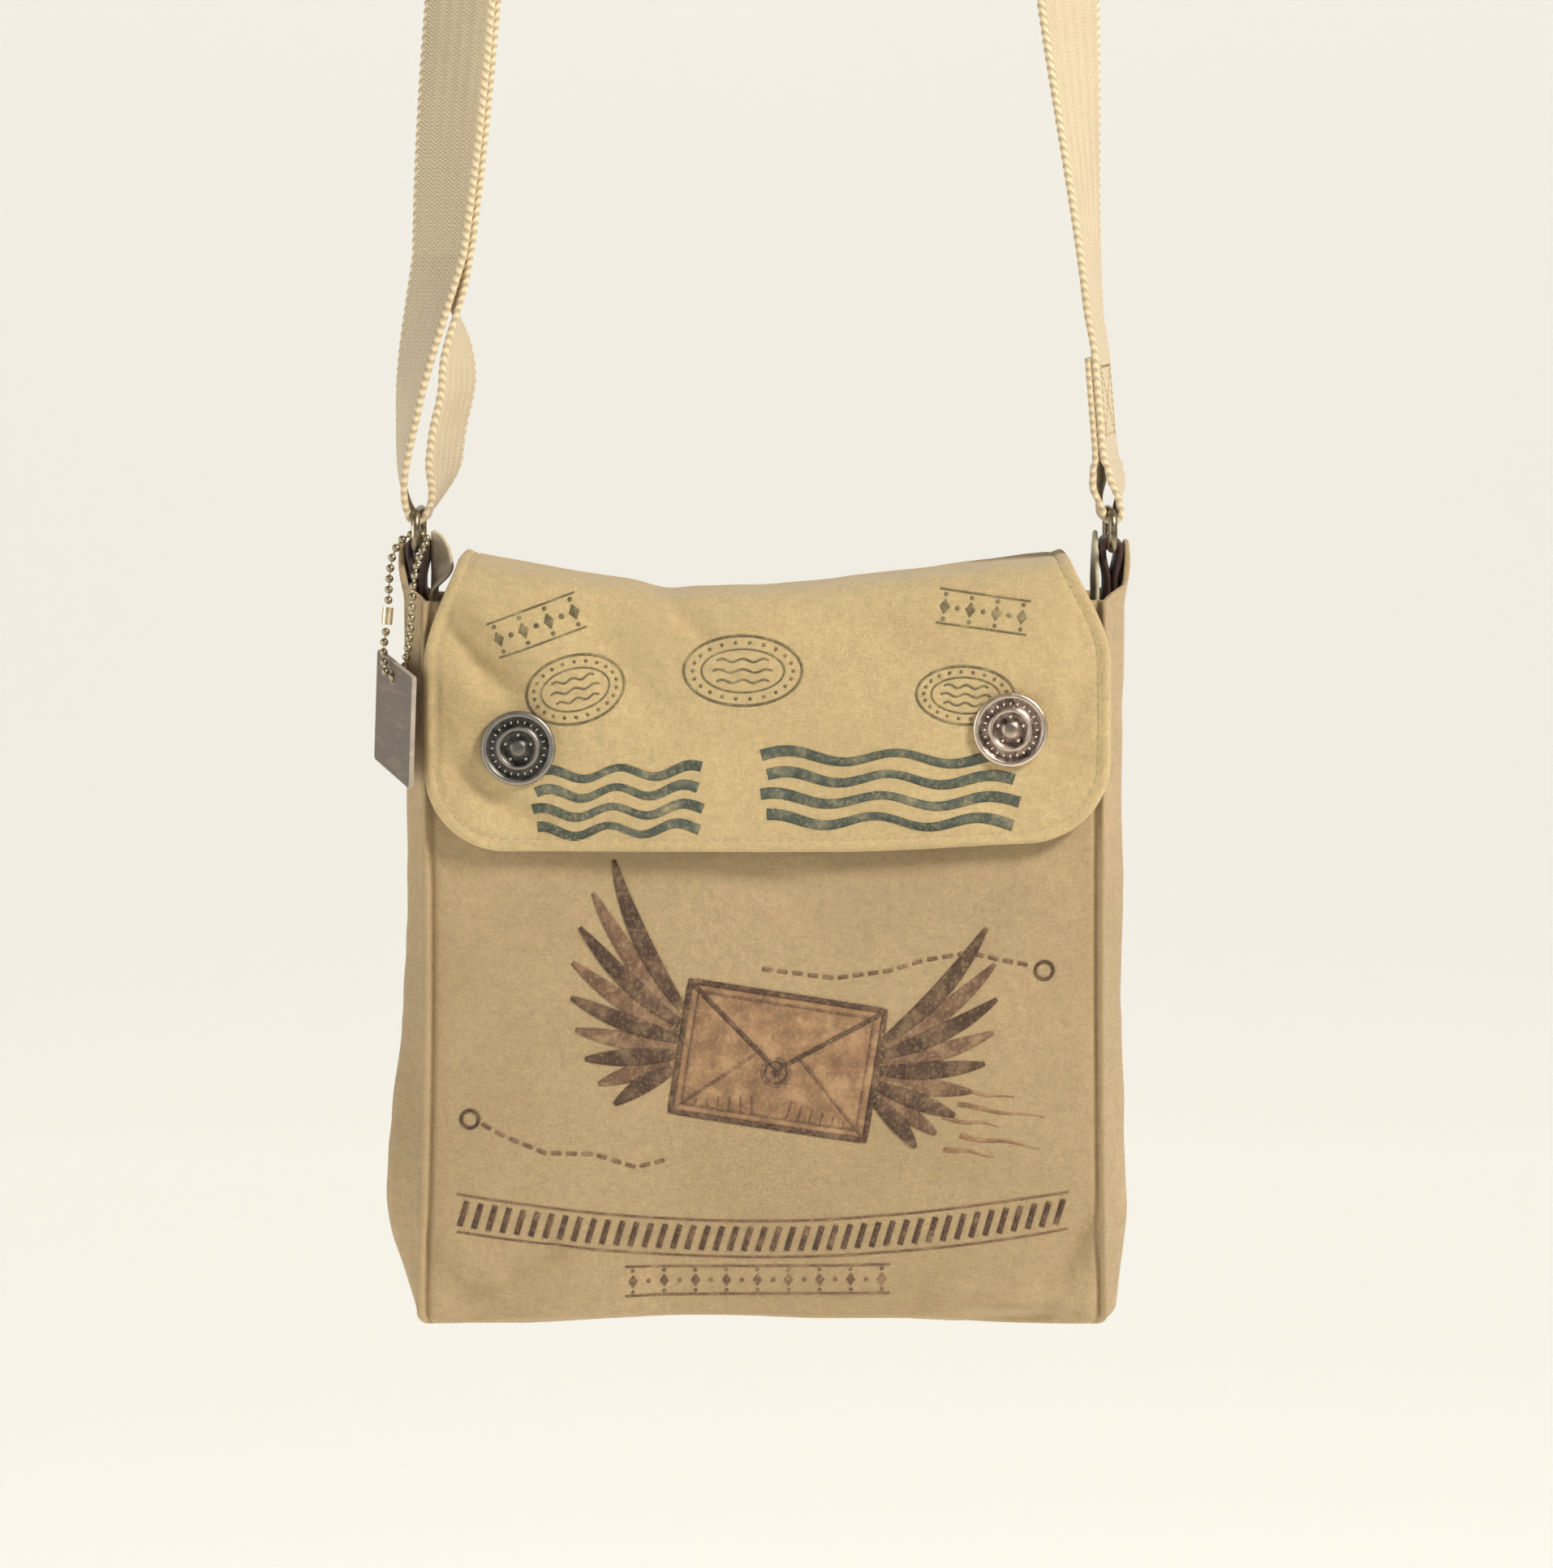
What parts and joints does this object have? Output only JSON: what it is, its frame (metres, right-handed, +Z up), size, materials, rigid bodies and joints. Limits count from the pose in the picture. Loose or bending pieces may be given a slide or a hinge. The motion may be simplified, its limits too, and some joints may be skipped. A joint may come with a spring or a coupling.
{
  "type": "canvas mail pouch",
  "caption": "Canvas mail pouch with a snap-down flap, side gussets, ring-hung webbing shoulder strap and a ball chain with hang tag.",
  "frame": {"origin": "middle of the underside of the strap's crown, where a hook or a shoulder carries the pouch", "axes": "+Z up, front (flap side) towards -Y, +X towards the sewn end of the strap"},
  "size_m": [0.2227, 0.067, 0.6662],
  "materials": {
    "canvas": "heavy tan cotton canvas",
    "flap_canvas": "heavy pale tan cotton canvas",
    "webbing": "pale tan twill webbing",
    "tab_leather": "dark red-brown leather",
    "old_brass": "antique brown finish, worn on the edges",
    "tag_leather": "grey-taupe smooth leather"
  },
  "bodies": {
    "strap": {"strap_crown": "webbing", "strap_right_leg": "webbing", "strap_right_loop": "webbing", "strap_left_loop": "webbing", "strap_left_main_leg": "webbing", "strap_left_return_leg": "webbing"},
    "left_ring": {"left_ring": "old_brass"},
    "pouch": {"front_panel": "canvas", "back_panel": "canvas", "base_panel": "canvas", "left_gusset": "canvas", "right_gusset": "canvas", "front_facing": "canvas", "back_facing": "canvas", "left_tab": "tab_leather", "right_tab": "tab_leather", "left_ear": "flap_canvas", "right_ear": "flap_canvas", "left_snap_stud": "old_brass", "right_snap_stud": "old_brass", "left_snap_post": "old_brass", "right_snap_post": "old_brass"},
    "right_ring": {"right_ring": "old_brass"},
    "flap_top": {"flap_top": "flap_canvas", "flap_top_lining": "canvas"},
    "flap_front": {"flap_front": "flap_canvas", "flap_front_lining": "canvas", "left_snap_cap": "old_brass", "right_snap_cap": "old_brass", "left_snap_socket": "old_brass", "right_snap_socket": "old_brass"},
    "slider": {"slider_frame": "old_brass", "slider_bar": "old_brass"},
    "chain": {"ball_chain": "old_brass", "chain_connector": "old_brass"},
    "tag": {"hang_tag": "tag_leather"}
  },
  "joints": [
    {"name": "left_ring_turn", "type": "hinge", "parent": "strap", "child": "left_ring", "pos_m": [-0.1026, 0, -0.42369], "axis": [0, 1, 0], "range_deg": [-12, 12]},
    {"name": "pouch_sway", "type": "hinge", "parent": "left_ring", "child": "pouch", "pos_m": [-0.1026, 0, -0.43419], "axis": [0, 1, 0], "range_deg": [-12, 12]},
    {"name": "right_ring_turn", "type": "hinge", "parent": "strap", "child": "right_ring", "pos_m": [0.1026, 0, -0.42369], "axis": [0, 1, 0], "range_deg": [-12, 12]},
    {"name": "flap_top_fold", "type": "hinge", "parent": "pouch", "child": "flap_top", "pos_m": [0, 0.025, -0.45004], "axis": [-1, 0, 0], "range_deg": [0, 42]},
    {"name": "flap_front_fold", "type": "hinge", "parent": "flap_top", "child": "flap_front", "pos_m": [0, -0.0298, -0.45204], "axis": [-1, 0, 0], "range_deg": [0, 135]},
    {"name": "slider_slide", "type": "slide", "parent": "strap", "child": "slider", "axis": [0.0872, 0, 0.9962], "range_m": [-0.055, 0.065]},
    {"name": "chain_swing", "type": "hinge", "parent": "pouch", "child": "chain", "pos_m": [-0.1026, -0.012, -0.43], "axis": [-1, 0, 0], "range_deg": [0, 55]},
    {"name": "tag_turn", "type": "hinge", "parent": "chain", "child": "tag", "pos_m": [-0.1086, -0.021, -0.4714], "axis": [-0.9455, -0.3256, 0], "range_deg": [-35, 25]}
  ],
  "couplings": [
    {"joint": "left_ring_turn", "follows": "pouch_sway", "ratio": -1},
    {"joint": "right_ring_turn", "follows": "pouch_sway", "ratio": -1}
  ]
}
